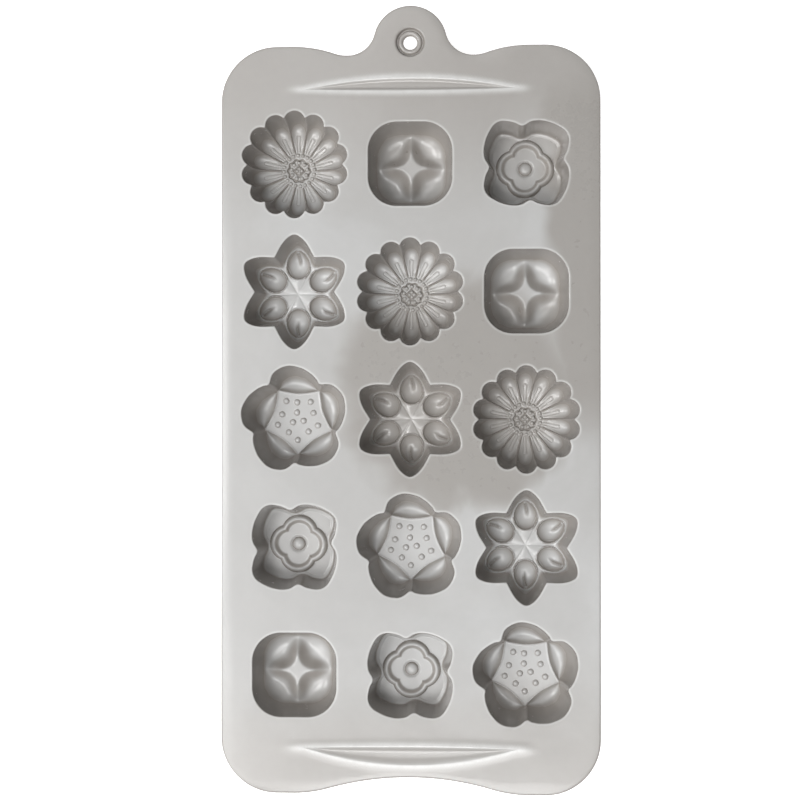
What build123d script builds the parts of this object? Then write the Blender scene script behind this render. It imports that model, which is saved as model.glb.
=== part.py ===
from build123d import *
import os
from math import cos, sin, pi, radians, degrees, sqrt, atan2, hypot

# Silicone soap mould: a flat flexible tray with fifteen moulded cups.
# Frame: X across the tray, Y along it (hang tab at +Y), Z up.
# The cup bottoms stand on z = 0 and the open faces look up at z = TOP.
os.makedirs("parts", exist_ok=True)

# ------------------------------------------------------------------ driving dimensions (mm)
TOP = 15.0            # height of the open face
SHEET_T = 1.6         # thickness of the flat sheet
WALL = 1.3            # cup wall at the rim
EDGE_R = 0.55         # rounding of the sheet's outer edge

HALF_W = 53.0         # half width of the tray
TOP_FLAT = 98.87      # Y of the two upper shoulders
BOT_FLAT = -110.1     # Y of the two lower shoulders
CORNER_R = 15.6       # corner radius
SPLIT_TOP = 84.6      # Y of the upper end panel's inner edge
SPLIT_BOT = -95.4     # Y of the lower end panel's inner edge

TAB_Y = 99.8          # centre of the hang tab
TAB_R = 10.3          # radius of the hang tab
DIP_X = 17.6          # X of the dip on each side of the tab
DIP_Y = 96.24         # Y of the dip
SHOULDER_R = 34.8     # convex shoulder beside the dip
SHOULDER_X = 32.9
ARCH_Y = -105.44      # crown of the arch in the lower end
LOW_R = 36.8          # convex shoulder beside the arch
LOW_X = 33.0

HOLE_R = 1.9          # hang hole
EYE_R = 4.9           # outer radius of the moulded eye
EYE_T = 2.2           # thickness of the eye, a little proud below the sheet
SEAT_R = 3.9          # stepped seat around the hole
SEAT_LEDGE_R = 3.1
SEAT_DEPTH = 0.45
SEAT_DEPTH_2 = 0.95

GRIP_HALF = 30.0      # half length of a finger grip
GRIP_DIP = 0.9        # depth of the grip's dish
GRIP_TOP = (86.7, 90.0)     # Y of the grip's straight side and of its bow
GRIP_BOT = (-97.2, -102.0)

COL_X = (-32.4, 0.0, 32.4)
ROW_Y = (65.8, 30.1, -5.6, -41.3, -77.0)
LAYOUT = (("daisy", "pillow", "rose"),
          ("star", "daisy", "pillow"),
          ("plum", "star", "daisy"),
          ("rose", "plum", "star"),
          ("pillow", "rose", "plum"))

# daisy: fourteen round scallops
DAISY_N, DAISY_RC, DAISY_RL = 14, 11.85, 3.15
# pillow: rounded square
PILLOW_H, PILLOW_R = 11.7, 8.0
# star: six points
STAR_VALLEY, STAR_TIP = 11.05, 15.95
# rose: four leaning petals, radius every 5 degrees of one quarter
ROSE_R = (10.75, 10.36, 10.62, 11.42, 12.14, 12.84, 13.50, 13.86, 13.92, 13.72,
          13.45, 13.22, 12.98, 12.72, 12.48, 12.20, 11.86, 11.42)
# plum blossom: five leaning lobes, radius every 4 degrees of one fifth
PLUM_R = (13.65, 13.96, 14.29, 14.51, 14.71, 14.90, 15.04, 15.02, 14.90, 14.68,
          14.43, 13.95, 13.14, 12.30, 12.10, 12.62, 12.98, 13.34)


# ------------------------------------------------------------------ small helpers
def pol(r, a):
    return Vector(r * cos(radians(a)), r * sin(radians(a)), 0)


def table_r(name, a):
    """Cavity radius of a tabulated outline at angle a (degrees), smoothly interpolated."""
    tab, step = (ROSE_R, 5.0) if name == "rose" else (PLUM_R, 4.0)
    n = len(tab)
    u = (a / step) % n
    i = int(u)
    f = u - i
    p0, p1, p2, p3 = tab[(i - 1) % n], tab[i], tab[(i + 1) % n], tab[(i + 2) % n]
    return p1 + 0.5 * f * (p2 - p0 + f * (2 * p0 - 5 * p1 + 4 * p2 - p3 + f * (3 * (p1 - p2) + p3 - p0)))


def offset_r(name, k, t, a):
    """Radius at angle a of the outline scaled by k and grown outward by t."""
    if t <= 0:
        return k * table_r(name, a) + t
    best = 0.0
    for j in range(-90, 91):
        b = a + j * 0.25
        r = k * table_r(name, b)
        x, y = r * cos(radians(b - a)), r * sin(radians(b - a))
        if abs(y) <= t:
            best = max(best, x + sqrt(t * t - y * y))
    return best


def arc3(a, b, c):
    return Edge.make_three_point_arc(a, b, c)


def up(v, z):
    return Vector(v.X, v.Y, z)


def ring(name, z, k=1.0, t=0.0):
    """Closed outline of a cup design at height z, scaled by k and offset by t."""
    es = []
    if name == "daisy":
        rc, rl = DAISY_RC * k, DAISY_RL * k + t
        half = 180.0 / DAISY_N
        rv = rc * cos(radians(half)) + sqrt(rl * rl - (rc * sin(radians(half))) ** 2)
        for i in range(DAISY_N):
            a = 90 + i * 2 * half
            es.append(arc3(up(pol(rv, a - half), z), up(pol(rc + rl, a), z), up(pol(rv, a + half), z)))
    elif name == "pillow":
        h, r = PILLOW_H * k + t, PILLOW_R * k + t
        c, m = h - r, r * sqrt(0.5)
        q = ((1, 1), (-1, 1), (-1, -1), (1, -1))
        for i, (sx, sy) in enumerate(q):
            if i % 2 == 0:
                p0, p2 = Vector(sx * h, sy * c, z), Vector(sx * c, sy * h, z)
            else:
                p0, p2 = Vector(sx * c, sy * h, z), Vector(sx * h, sy * c, z)
            es.append(arc3(p0, Vector(sx * (c + m), sy * (c + m), z), p2))
            nx, ny = q[(i + 1) % 4]
            if i % 2 == 0:
                p3 = Vector(nx * c, ny * h, z)
            else:
                p3 = Vector(nx * h, ny * c, z)
            es.append(Edge.make_line(p2, p3))
    elif name == "star":
        for i in range(6):
            a = 30 + 60 * i

            def pt(x, y, nx, ny, s):
                # a point given beside the axis at 30 degrees, mirrored when s is -1
                x, y = k * x + t * nx, k * y + t * ny
                r, b = hypot(x, y), degrees(atan2(y, x)) - 30
                return up(pol(r, a + s * b), z)
            v0 = up(pol(STAR_VALLEY * k + 1.099 * t, a - 30), z)
            v1 = up(pol(STAR_VALLEY * k + 1.099 * t, a + 30), z)
            m0, m1 = pt(13.21, 3.54, 0.91, -0.415, 1), pt(13.21, 3.54, 0.91, -0.415, -1)
            e0, e1 = pt(14.10, 6.72, 0.985, -0.17, 1), pt(14.10, 6.72, 0.985, -0.17, -1)
            tip = up(pol(STAR_TIP * k + t, a), z)
            es += [arc3(v0, m0, e0), arc3(e0, tip, e1), arc3(e1, m1, v1)]
    else:
        n = 72 if name == "rose" else 90
        pts = [up(pol(offset_r(name, k, t, 360.0 * i / n), 360.0 * i / n), z) for i in range(n)]
        return Wire([Edge.make_spline(pts, periodic=True)])
    return Wire(es)


def stack(name, sections, ruled=True):
    """Closed solid through outlines given as (height, scale, offset)."""
    return Solid.make_loft([ring(name, z, k, t) for z, k, t in sections], ruled)


def round_pocket(r, x, y, depth, sx=1.0, a=0.0):
    """A ball-ended pocket whose lowest point is depth below the open face."""
    s = Solid.make_sphere(r, angle1=-90, angle2=90, angle3=360)
    return s.moved(Location((x, y, TOP - depth + r)))


# ------------------------------------------------------------------ cups
# (height, scale, offset) of the outer skin below the collar, then of the cavity
SKIN = {
    "daisy": [(TOP - SHEET_T, 1.0, WALL), (TOP - 8.0, 0.93, WALL), (TOP - 12.4, 0.80, WALL), (0.0, 0.62, WALL)],
    "pillow": [(TOP - SHEET_T, 1.0, WALL), (TOP - 7.5, 0.955, WALL), (TOP - 12.0, 0.84, WALL), (0.0, 0.66, WALL)],
    "rose": [(TOP - SHEET_T, 1.0, WALL), (TOP - 12.6, 0.885, WALL), (0.0, 0.80, WALL)],
    "star": [(TOP - SHEET_T, 1.0, WALL), (TOP - 10.5, 0.88, WALL), (0.0, 0.70, WALL)],
    "plum": [(TOP - SHEET_T, 1.0, WALL), (TOP - 8.0, 0.945, WALL), (TOP - 12.4, 0.84, WALL), (0.0, 0.66, WALL)],
}
HOLLOW = {
    "daisy": [(TOP, 1.0, 0), (TOP - 4.5, 0.965, 0), (TOP - 8.5, 0.88, 0), (TOP - 11.2, 0.72, 0), (TOP - 12.7, 0.45, 0)],
    "pillow": [(TOP, 1.0, 0), (TOP - 4.0, 0.97, 0), (TOP - 7.2, 0.90, 0), (TOP - 9.1, 0.74, 0)],
    "rose": [(TOP, 1.0, 0), (TOP - 10.8, 0.90, 0), (TOP - 12.0, 0.83, 0)],
    "star": [(TOP, 1.0, 0), (TOP - 6.5, 0.90, 0), (TOP - 10.4, 0.72, 0)],
    "plum": [(TOP, 1.0, 0), (TOP - 5.0, 0.965, 0), (TOP - 9.0, 0.88, 0), (TOP - 11.6, 0.70, 0)],
}


def relief(name):
    """Pockets that are sunk deeper than the main hollow."""
    cuts = []
    if name == "daisy":
        cuts.append(Solid.make_cylinder(4.3, 3.0, Plane((0, 0, TOP - 13.6))))
    elif name == "pillow":
        cuts += [round_pocket(5.4, sx * 5.1, sy * 5.1, 12.6) for sx in (-1, 1) for sy in (-1, 1)]
    elif name == "rose":
        for i in range(4):
            p = pol(3.6, 83 + 90 * i)
            cuts.append(Solid.make_cylinder(4.6, 3.0, Plane((p.X, p.Y, TOP - 13.0))))
        cuts.append(Solid.make_cylinder(5.2, 3.0, Plane((0, 0, TOP - 13.7))))
    elif name == "star":
        for i in range(6):
            p = pol(8.4, 30 + 60 * i)
            cuts.append(round_pocket(3.5, p.X, p.Y, 12.4))
    elif name == "plum":
        for i in range(5):
            p = pol(9.4, 95 + 72 * i)
            cuts.append(round_pocket(4.3, p.X, p.Y, 13.2))
    return cuts


PLUM_DOTS = ((-3.49, 5.18), (-0.38, 4.82), (3.47, 4.94), (-4.68, 1.38), (-0.45, 1.92), (4.30, 1.78),
             (-5.91, -1.64), (-1.57, -0.88), (1.45, -0.45), (5.60, -1.83), (-2.78, -3.77),
             (2.87, -3.54), (-0.21, -5.98))
DOT_R = 0.88
DOT_DEPTH = 0.4


def bosses(name):
    """Raised details added back on the floor."""
    out = []
    if name == "daisy":
        out.append(Solid.make_cone(2.4, 1.7, 1.5, Plane((0, 0, 0.9))))
    elif name == "rose":
        out.append(Solid.make_cone(1.6, 1.0, 1.2, Plane((0, 0, 1.2))))
    return out


def make_cup(name):
    collar = Solid.extrude(Face(ring(name, TOP - SHEET_T, 1.0, WALL)), Vector(0, 0, SHEET_T))
    cup = collar.fuse(stack(name, SKIN[name]))
    cup = cup.cut(stack(name, HOLLOW[name]))
    for c in relief(name):
        cup = cup.cut(c)
    if name == "plum":
        for x, y in PLUM_DOTS:
            cup = cup.cut(Solid.make_cylinder(DOT_R, 1.5, Plane((x, y, TOP - 11.6 - DOT_DEPTH))))
    for b in bosses(name):
        cup = cup.fuse(b)
    return cup


# ------------------------------------------------------------------ sheet outline
def tray_outline(z):
    # concave fillet between the tab and the dip, tangent to the tab's circle
    d = TAB_Y - DIP_Y
    rf = (DIP_X ** 2 + d ** 2 - TAB_R ** 2) / (2 * (TAB_R + d))
    fc = Vector(DIP_X, DIP_Y + rf, 0)
    u = (fc - Vector(0, TAB_Y, 0)).normalized()
    touch = Vector(0, TAB_Y, 0) + u * TAB_R
    # concave arc from the dip outward, tangent to the convex shoulder
    sc = Vector(SHOULDER_X, TOP_FLAT - SHOULDER_R, 0)
    dx, dy = SHOULDER_X - DIP_X, DIP_Y - sc.Y
    rd = (dx * dx + dy * dy - SHOULDER_R ** 2) / (2 * (SHOULDER_R - dy))
    dc = Vector(DIP_X, DIP_Y + rd, 0)
    join = dc + (sc - dc).normalized() * rd
    # arch in the lower end, tangent to the lower shoulder
    lc = Vector(LOW_X, BOT_FLAT + LOW_R, 0)
    e = lc.Y - ARCH_Y
    ra = (LOW_X ** 2 + e * e - LOW_R ** 2) / (2 * (LOW_R - e))
    ac = Vector(0, ARCH_Y - ra, 0)
    low = ac + (lc - ac).normalized() * ra

    def on(c, r, ang):
        return Vector(c.X + r * cos(ang), c.Y + r * sin(ang), z)

    def mid(c, r, p, q):
        a0, a1 = atan2(p.Y - c.Y, p.X - c.X), atan2(q.Y - c.Y, q.X - c.X)
        w = a1 - a0
        while w > pi:
            w -= 2 * pi
        while w < -pi:
            w += 2 * pi
        return on(c, r, a0 + w / 2)

    tabc = Vector(0, TAB_Y, 0)
    half = []
    pts = [("arc", tabc, TAB_R, Vector(0, TAB_Y + TAB_R, 0), touch),
           ("arc", fc, rf, touch, Vector(DIP_X, DIP_Y, 0)),
           ("arc", dc, rd, Vector(DIP_X, DIP_Y, 0), join),
           ("arc", sc, SHOULDER_R, join, Vector(SHOULDER_X, TOP_FLAT, 0)),
           ("line", None, None, Vector(SHOULDER_X, TOP_FLAT, 0), Vector(HALF_W - CORNER_R, TOP_FLAT, 0)),
           ("arc", Vector(HALF_W - CORNER_R, TOP_FLAT - CORNER_R, 0), CORNER_R,
            Vector(HALF_W - CORNER_R, TOP_FLAT, 0), Vector(HALF_W, TOP_FLAT - CORNER_R, 0)),
           ("line", None, None, Vector(HALF_W, TOP_FLAT - CORNER_R, 0), Vector(HALF_W, BOT_FLAT + CORNER_R, 0)),
           ("arc", Vector(HALF_W - CORNER_R, BOT_FLAT + CORNER_R, 0), CORNER_R,
            Vector(HALF_W, BOT_FLAT + CORNER_R, 0), Vector(HALF_W - CORNER_R, BOT_FLAT, 0)),
           ("line", None, None, Vector(HALF_W - CORNER_R, BOT_FLAT, 0), Vector(LOW_X, BOT_FLAT, 0)),
           ("arc", lc, LOW_R, Vector(LOW_X, BOT_FLAT, 0), low),
           ("arc", ac, ra, low, Vector(0, ARCH_Y, 0))]
    for kind, c, r, p, q in pts:
        if kind == "line":
            half.append(Edge.make_line(up(p, z), up(q, z)))
        else:
            half.append(arc3(up(p, z), mid(c, r, p, q), up(q, z)))
    other = [e.mirror(Plane.YZ) for e in half]
    return Wire(half + other)


def lens(y0, y1, z, grow=0.0):
    """Lens outline of a finger grip: a nearly straight side at y0 and a bow out to y1."""
    s = 1 if y1 > y0 else -1
    a, b = Vector(-GRIP_HALF - grow, y0, z), Vector(GRIP_HALF + grow, y0, z)
    return Wire([arc3(a, Vector(0, y1 + s * grow, z), b), arc3(b, Vector(0, y0 - s * (0.7 + grow), z), a)])


# ------------------------------------------------------------------ sheet, eye and grips
Z0 = TOP - SHEET_T
blank = Solid.extrude(Face(tray_outline(Z0)), Vector(0, 0, SHEET_T))
rim = [e for e in blank.edges() if abs(e.center().Z - TOP) < 1e-6 or abs(e.center().Z - Z0) < 1e-6]
blank = blank.fillet(EDGE_R, rim)

holes = []
for r_i, row in enumerate(LAYOUT):
    for c_i, name in enumerate(row):
        f = Solid.extrude(Face(ring(name, Z0 - 1, 1.0, WALL)), Vector(0, 0, SHEET_T + 2))
        holes.append(f.moved(Location((COL_X[c_i], ROW_Y[r_i], 0))))
eye_cut = Solid.make_cylinder(EYE_R, SHEET_T + 2, Plane((0, TAB_Y, Z0 - 1)))
grip_cuts = [Solid.extrude(Face(lens(y0, y1, Z0 - 1)), Vector(0, 0, SHEET_T + 2)) for y0, y1 in (GRIP_TOP, GRIP_BOT)]


def band(shape, y0, y1):
    """The one solid of a shape that lies between y0 and y1."""
    low = Solid.make_box(400, 400, 40, Plane((-200, y0 - 400, Z0 - 20)))
    high = Solid.make_box(400, 400, 40, Plane((-200, y1, Z0 - 20)))
    return shape.cut(low, high)


web = band(blank, SPLIT_BOT, SPLIT_TOP).cut(*holes)
top_end = band(blank, SPLIT_TOP, 200).cut(grip_cuts[0], eye_cut)
bot_end = band(blank, -200, SPLIT_BOT).cut(grip_cuts[1])

# moulded eye: a round boss flush with the sheet, with a two-step seat and a through hole
eye = Solid.make_cylinder(EYE_R, EYE_T, Plane((0, TAB_Y, TOP - EYE_T)))
eye = eye.cut(Solid.make_cylinder(HOLE_R, EYE_T + 2, Plane((0, TAB_Y, TOP - EYE_T - 1))),
              Solid.make_cylinder(SEAT_R, 2, Plane((0, TAB_Y, TOP - SEAT_DEPTH))),
              Solid.make_cylinder(SEAT_LEDGE_R, 2, Plane((0, TAB_Y, TOP - SEAT_DEPTH_2))))


def grip(y0, y1):
    """A shallow lens-shaped dish that hangs a little below the sheet."""
    rim_part = Solid.extrude(Face(lens(y0, y1, Z0)), Vector(0, 0, SHEET_T))
    under = Solid.make_loft([lens(y0, y1, Z0), lens(y0, y1, Z0 - GRIP_DIP, -0.5)], True)
    hollow = Solid.make_loft([lens(y0, y1, TOP, -0.35), lens(y0, y1, TOP - GRIP_DIP, -0.85)], True)
    return rim_part.fuse(under).cut(hollow)


nodes = {"web_panel": web, "top_end_panel": top_end, "bottom_end_panel": bot_end,
         "hang_eye": eye, "grip_top": grip(*GRIP_TOP), "grip_bottom": grip(*GRIP_BOT)}

made, count = {}, {}
for name in ("daisy", "pillow", "rose", "star", "plum"):
    made[name] = make_cup(name)
for r_i, row in enumerate(LAYOUT):
    for c_i, name in enumerate(row):
        count[name] = count.get(name, 0) + 1
        nodes["cup_%s_%d" % (name, count[name])] = made[name].moved(Location((COL_X[c_i], ROW_Y[r_i], 0)))

for node, shape in nodes.items():
    solids = shape.solids()
    out = solids[0] if len(solids) == 1 else Compound(children=list(solids))
    export_step(out, "parts/%s.step" % node)
    print("%-18s solids %d  volume %8.1f mm3" % (node, len(solids), shape.volume))
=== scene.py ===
import math
import bpy
import numpy as np
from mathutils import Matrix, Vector
from mathutils.geometry import delaunay_2d_cdt


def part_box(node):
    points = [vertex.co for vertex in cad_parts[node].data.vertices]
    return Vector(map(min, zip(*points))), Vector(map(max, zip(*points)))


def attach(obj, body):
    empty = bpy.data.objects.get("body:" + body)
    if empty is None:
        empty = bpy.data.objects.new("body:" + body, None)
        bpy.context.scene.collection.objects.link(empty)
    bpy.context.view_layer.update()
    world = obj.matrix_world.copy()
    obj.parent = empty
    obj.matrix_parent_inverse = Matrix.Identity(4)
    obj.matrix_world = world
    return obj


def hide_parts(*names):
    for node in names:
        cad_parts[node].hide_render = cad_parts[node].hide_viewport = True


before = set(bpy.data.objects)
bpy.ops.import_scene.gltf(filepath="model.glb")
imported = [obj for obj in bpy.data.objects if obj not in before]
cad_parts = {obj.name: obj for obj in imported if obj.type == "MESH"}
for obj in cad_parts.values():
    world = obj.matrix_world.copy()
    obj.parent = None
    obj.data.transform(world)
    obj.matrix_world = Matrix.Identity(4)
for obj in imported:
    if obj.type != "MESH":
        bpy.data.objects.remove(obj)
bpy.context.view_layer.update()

MM = 0.001
TOP, SHEET, WALL = 15.0, 1.6, 1.3      # open face, sheet thickness, cup wall (mm)
Z0 = TOP - SHEET

# ------------------------------------------------------------------ camera first
scene = bpy.context.scene
cam_data = bpy.data.cameras.new("camera")
cam = bpy.data.objects.new("camera", cam_data)
scene.collection.objects.link(cam)
cam_data.sensor_width = 36.0
cam_data.lens = 74.57
cam_data.clip_start, cam_data.clip_end = 0.01, 20.0
CAM = Vector((0.01749, -0.00297, 0.47646))
AIM = Vector((-0.00280, -0.00019, 0.0150))
cam.location = CAM
cam.rotation_mode = "QUATERNION"


def look(obj, at, up=Vector((0, 1, 0))):
    f = (at - obj.location).normalized()
    r = f.cross(up).normalized()
    u = r.cross(f)
    from mathutils import Matrix
    m = Matrix((r, u, -f)).transposed()
    obj.rotation_mode = "QUATERNION"
    obj.rotation_quaternion = m.to_quaternion()


look(cam, AIM)
scene.camera = cam

# ------------------------------------------------------------------ outlines (mm, about each cup's axis)
TAU = 2 * math.pi
DENSE = 2160
TH = np.arange(DENSE) * TAU / DENSE

ROSE_R = (10.75, 10.36, 10.62, 11.42, 12.14, 12.84, 13.50, 13.86, 13.92, 13.72,
          13.45, 13.22, 12.98, 12.72, 12.48, 12.20, 11.86, 11.42)
PLUM_R = (13.65, 13.96, 14.29, 14.51, 14.71, 14.90, 15.04, 15.02, 14.90, 14.68,
          14.43, 13.95, 13.14, 12.30, 12.10, 12.62, 12.98, 13.34)


def table(tab, step, deg):
    tab = np.asarray(tab)
    n = len(tab)
    u = (deg / step) % n
    i = np.floor(u).astype(int)
    f = u - i
    p0, p1, p2, p3 = tab[(i - 1) % n], tab[i % n], tab[(i + 1) % n], tab[(i + 2) % n]
    return p1 + 0.5 * f * (p2 - p0 + f * (2 * p0 - 5 * p1 + 4 * p2 - p3 + f * (3 * (p1 - p2) + p3 - p0)))


def blur(r, deg):
    """Rounds an outline's corners: a circular Gaussian over the angle."""
    s = deg * DENSE / 360.0
    k = np.exp(-0.5 * (np.minimum(np.arange(DENSE), DENSE - np.arange(DENSE)) / s) ** 2)
    k /= k.sum()
    return np.real(np.fft.ifft(np.fft.fft(r) * np.fft.fft(k)))


def outline(name):
    deg = np.degrees(TH)
    if name == "daisy":
        half = 180.0 / 14
        b = np.radians((deg - 90 + half) % (2 * half) - half)
        lobe = 12.12 * np.cos(b) + np.sqrt(np.maximum(2.88 ** 2 - (12.12 * np.sin(b)) ** 2, 0))
        notch = 13.22
        r = 0.5 * (lobe + notch + np.sqrt((lobe - notch) ** 2 + 0.14 ** 2))
        return blur(r, 0.75)
    if name == "pillow":
        h, rc = 11.7, 8.0
        c = h - rc
        ux, uy = np.abs(np.cos(TH)), np.abs(np.sin(TH))
        hi, lo = np.maximum(ux, uy), np.minimum(ux, uy)
        t = h / hi
        B = c * (hi + lo)
        corner = B + np.sqrt(np.maximum(B * B - (2 * c * c - rc * rc), 0))
        return blur(np.where(t * lo <= c, t, corner), 0.8)
    if name == "star":
        b = deg % 60
        b = np.where(b <= 30, b, 60 - b)
        # side arc bulging by half a millimetre, then a small round tip
        r = np.interp(b, [0, 2.5, 5, 7.5, 10, 12.5, 15, 17.5, 20, 22.5, 25, 27, 28.5, 30],
                      [11.05, 11.36, 11.72, 12.15, 12.62, 13.12, 13.66, 14.16, 14.66, 15.12, 15.52, 15.79, 15.93, 15.97])
        return blur(r, 0.75)
    if name == "rose":
        return blur(table(ROSE_R, 5.0, deg), 0.8)
    return blur(table(PLUM_R, 4.0, deg), 0.7)


def grown(r, t):
    """Radius at every angle of the outline moved out by t (in when t is negative), measured square to it."""
    if abs(t) < 1e-9:
        return r.copy()
    s = 1.0 if t > 0 else -1.0
    t = abs(t)
    out = np.full(DENSE, -1e9 if s > 0 else 1e9)
    reach = int(DENSE * 0.09)
    for j in range(-reach, reach + 1):
        q = np.roll(r, -j)
        a = j * TAU / DENSE
        x, y = q * math.cos(a), q * math.sin(a)
        ok = np.abs(y) <= t
        root = np.sqrt(np.maximum(t * t - y * y, 0))
        cand = x + s * root
        if s > 0:
            out = np.where(ok, np.maximum(out, cand), out)
        else:
            out = np.where(ok, np.minimum(out, cand), out)
    return out


def chaikin(p, n=3):
    p = np.asarray(p, float)
    for _ in range(n):
        q = 0.75 * p[:-1] + 0.25 * p[1:]
        r = 0.25 * p[:-1] + 0.75 * p[1:]
        p = np.vstack([p[:1], np.stack([q, r], 1).reshape(-1, 2), p[-1:]])
    return p


def resample(p, step, scale):
    """Points along a profile about step mm apart; scale turns the first column into mm."""
    d = np.hypot(np.diff(p[:, 0]) * scale, np.diff(p[:, 1]))
    s = np.concatenate([[0], np.cumsum(d)])
    n = max(4, int(round(s[-1] / step)))
    t = np.linspace(0, s[-1], n + 1)
    return np.stack([np.interp(t, s, p[:, 0]), np.interp(t, s, p[:, 1])], 1)


def smooth(x):
    x = np.clip(x, 0, 1)
    return x * x * (3 - 2 * x)


# ------------------------------------------------------------------ reliefs: extra depth (mm) at a point of the floor
def relief_daisy(x, y):
    r = np.hypot(x, y)
    deg = np.degrees(np.arctan2(y, x))
    half = 180.0 / 14
    a = (deg - 90 + half) % (2 * half) - half
    k = a / half
    lat, rad = np.abs(r * np.sin(np.radians(a))), r * np.cos(np.radians(a))
    # ribs between the petals, each petal a shallow trough
    rib = (1 - np.sqrt(np.maximum(1 - 0.95 * k * k, 0))) / (1 - math.sqrt(0.05))
    h = np.interp(r, [3.7, 4.9, 6.0, 8.0, 10.0, 12.0, 13.4, 14.6], [0, 0.16, 0.40, 0.76, 1.05, 1.10, 0.45, 0])
    out = -h * rib
    side = r * np.sin(np.radians(half - np.abs(a)))          # distance to the petal's border
    run = smooth((r - 4.9) / 0.6) * smooth((11.8 - r) / 2.0)
    out += run * (0.13 * np.exp(-((side - 0.36) / 0.12) ** 2) - 0.14 * np.exp(-(side / 0.13) ** 2))
    # a slim round-ended tongue pressed into each petal
    w = 0.13 + 0.040 * rad
    g = np.hypot(lat, np.maximum(rad - 9.55, 0)) - w
    fade = smooth((rad - 4.9) / 0.5) * smooth((11.2 - rad) / 0.5)
    out += fade * (0.13 * np.exp(-(g / 0.11) ** 2) - 0.05 * np.exp(-((g - 0.22) / 0.11) ** 2))
    out -= fade * 0.07 * smooth(-g / 0.3)
    # centre: sunk wavy disc with beads
    wave = 3.16 + 0.18 * np.cos(np.radians(deg * 10 + 18))
    out += 0.30 * smooth((wave - r) / 0.30 + 0.5)
    out += 0.50 * np.exp(-((r - wave + 0.06) / 0.21) ** 2)

    def beads(n, rad_, size, height, turn=0.0):
        st = 360.0 / n
        b = np.radians((deg - turn + st / 2) % st - st / 2)
        d2 = (r * np.cos(b) - rad_) ** 2 + (r * np.sin(b)) ** 2
        return -height * np.maximum(1 - d2 / size ** 2, 0) ** 0.6
    out += beads(20, 4.42, 0.55, 0.46, 4)
    out += 0.16 * np.exp(-((r - 4.95) / 0.14) ** 2)
    out += beads(9, 2.32, 0.58, 0.50, 10)
    out += 0.42 * np.exp(-((np.abs(x) + np.abs(y) - 1.62) / 0.21) ** 2)
    out += beads(4, 0.66, 0.50, 0.40, 0)
    return out


def depth_pillow(x, y, bowl):
    """A four-armed cross rises out of the bowl: a small flat star on top, falling away on every side."""
    ax, ay = np.abs(x), np.abs(y)
    u = 4.07 - np.hypot(np.minimum(ax - 4.27, 0), np.minimum(ay - 4.27, 0))
    M = (ax ** 5 + ay ** 5) ** 0.2
    soft = 0.22 + 0.9 * smooth((M - 3.4) / 4.0)
    v = 0.5 * (u + np.sqrt(u * u + soft * soft))
    away = np.maximum(np.hypot(8.9 - ax, 8.9 - ay) - 5.55, 0)
    tip = M - 4.3
    arm = 0.58 * 0.5 * (tip + np.sqrt(tip * tip + 0.5 ** 2))
    g = np.sin(v / (v + away + 1e-9) * math.pi / 2) ** 1.25
    cross = 8.95 + arm * (1 - g) + 4.5 * g
    d = bowl - cross
    return 0.5 * (bowl + cross - np.sqrt(d * d + 1.0 ** 2))


def relief_rose(x, y):
    r = np.hypot(x, y)
    deg = np.degrees(np.arctan2(y, x))
    a = np.radians((deg - 87 + 45) % 90 - 45)

    def quad(c, b):
        return c * np.cos(a) + np.sqrt(np.maximum(b * b - (c * np.sin(a)) ** 2, 0))
    foot, crest, flat = quad(3.05, 5.25), quad(2.85, 4.25), quad(2.65, 3.02)
    # four-lobed boss: steep rounded side, soft crest, then a slope down to the flat middle
    t = (foot - r) / (foot - crest)
    up = 1.45 * np.where(t < 1, np.sin(np.clip(t, 0, 1) * math.pi / 2) ** 0.62, 1.0)
    q = np.clip((crest - r) / (crest - flat), 0, 1)
    up -= 1.32 * smooth(q)
    # round stud in the middle, in its own little hollow
    up -= 0.50 * smooth((2.75 - r) / 1.15)
    up += 1.35 * np.sqrt(np.maximum(1 - (r / 1.86) ** 2, 0)) ** 0.9
    return -up


def relief_star(x, y):
    r = np.hypot(x, y)
    deg = np.degrees(np.arctan2(y, x))
    a = np.radians((deg - 30 + 30) % 60 - 30)
    t, q = r * np.sin(a), r * np.cos(a) - 8.35
    w = 3.28 * (1 - 0.10 * q / 4.1)
    E = np.sqrt((t / w) ** 2 + (q / 4.05) ** 2)
    pit = 2.25 * np.maximum(1 - E * E, 0) ** 0.72
    out = pit - 0.36 * np.exp(-((E - 1.03) / 0.050) ** 2)
    # pinched crest that curves from the pit's outer end towards its middle
    bend = 0.50 * np.sin((q - 3.2) * 0.62)
    fadeq = smooth((q + 1.3) / 2.9) * smooth((4.0 - q) / 0.6) * (E < 1.0)
    out -= 0.95 * fadeq * np.maximum(1 - np.abs(t - bend) / 0.95, 0) ** 1.6
    # creases from the centre out to the notches, with a fine ridge along each side
    b = np.radians((deg + 30) % 60 - 30)
    lat, rad = np.abs(r * np.sin(b)), r * np.cos(b)
    run = smooth((rad - 0.5) / 1.5) * smooth((10.6 - rad) / 0.8)
    out += run * 0.07 * np.exp(-(lat / 0.32) ** 2)
    ridge = 0.22 + 0.075 * rad
    out -= run * smooth((rad - 3.0) / 3.0) * 0.14 * np.exp(-((lat - ridge) / 0.15) ** 2)
    out -= run * smooth((rad - 5.0) / 2.0) * smooth((9.8 - rad) / 1.2) * 0.10 * np.exp(-((lat - ridge - 0.50) / 0.12) ** 2)
    # petals of the floor swell a little between the creases
    out += 0.20 * np.exp(-(r / 1.0) ** 2) - 0.16 * np.minimum(r / 3.6, 1) * smooth((7.0 - r) / 3.5) * np.abs(np.cos(3 * np.radians(deg - 30))) ** 1.2
    return out


PLUM_DOTS = ((-3.49, 5.18), (-0.38, 4.82), (3.47, 4.94), (-4.68, 1.38), (-0.45, 1.92), (4.30, 1.78),
             (-5.91, -1.64), (-1.57, -0.88), (1.45, -0.45), (5.60, -1.83), (-2.78, -3.77),
             (2.87, -3.54), (-0.21, -5.98))


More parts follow.
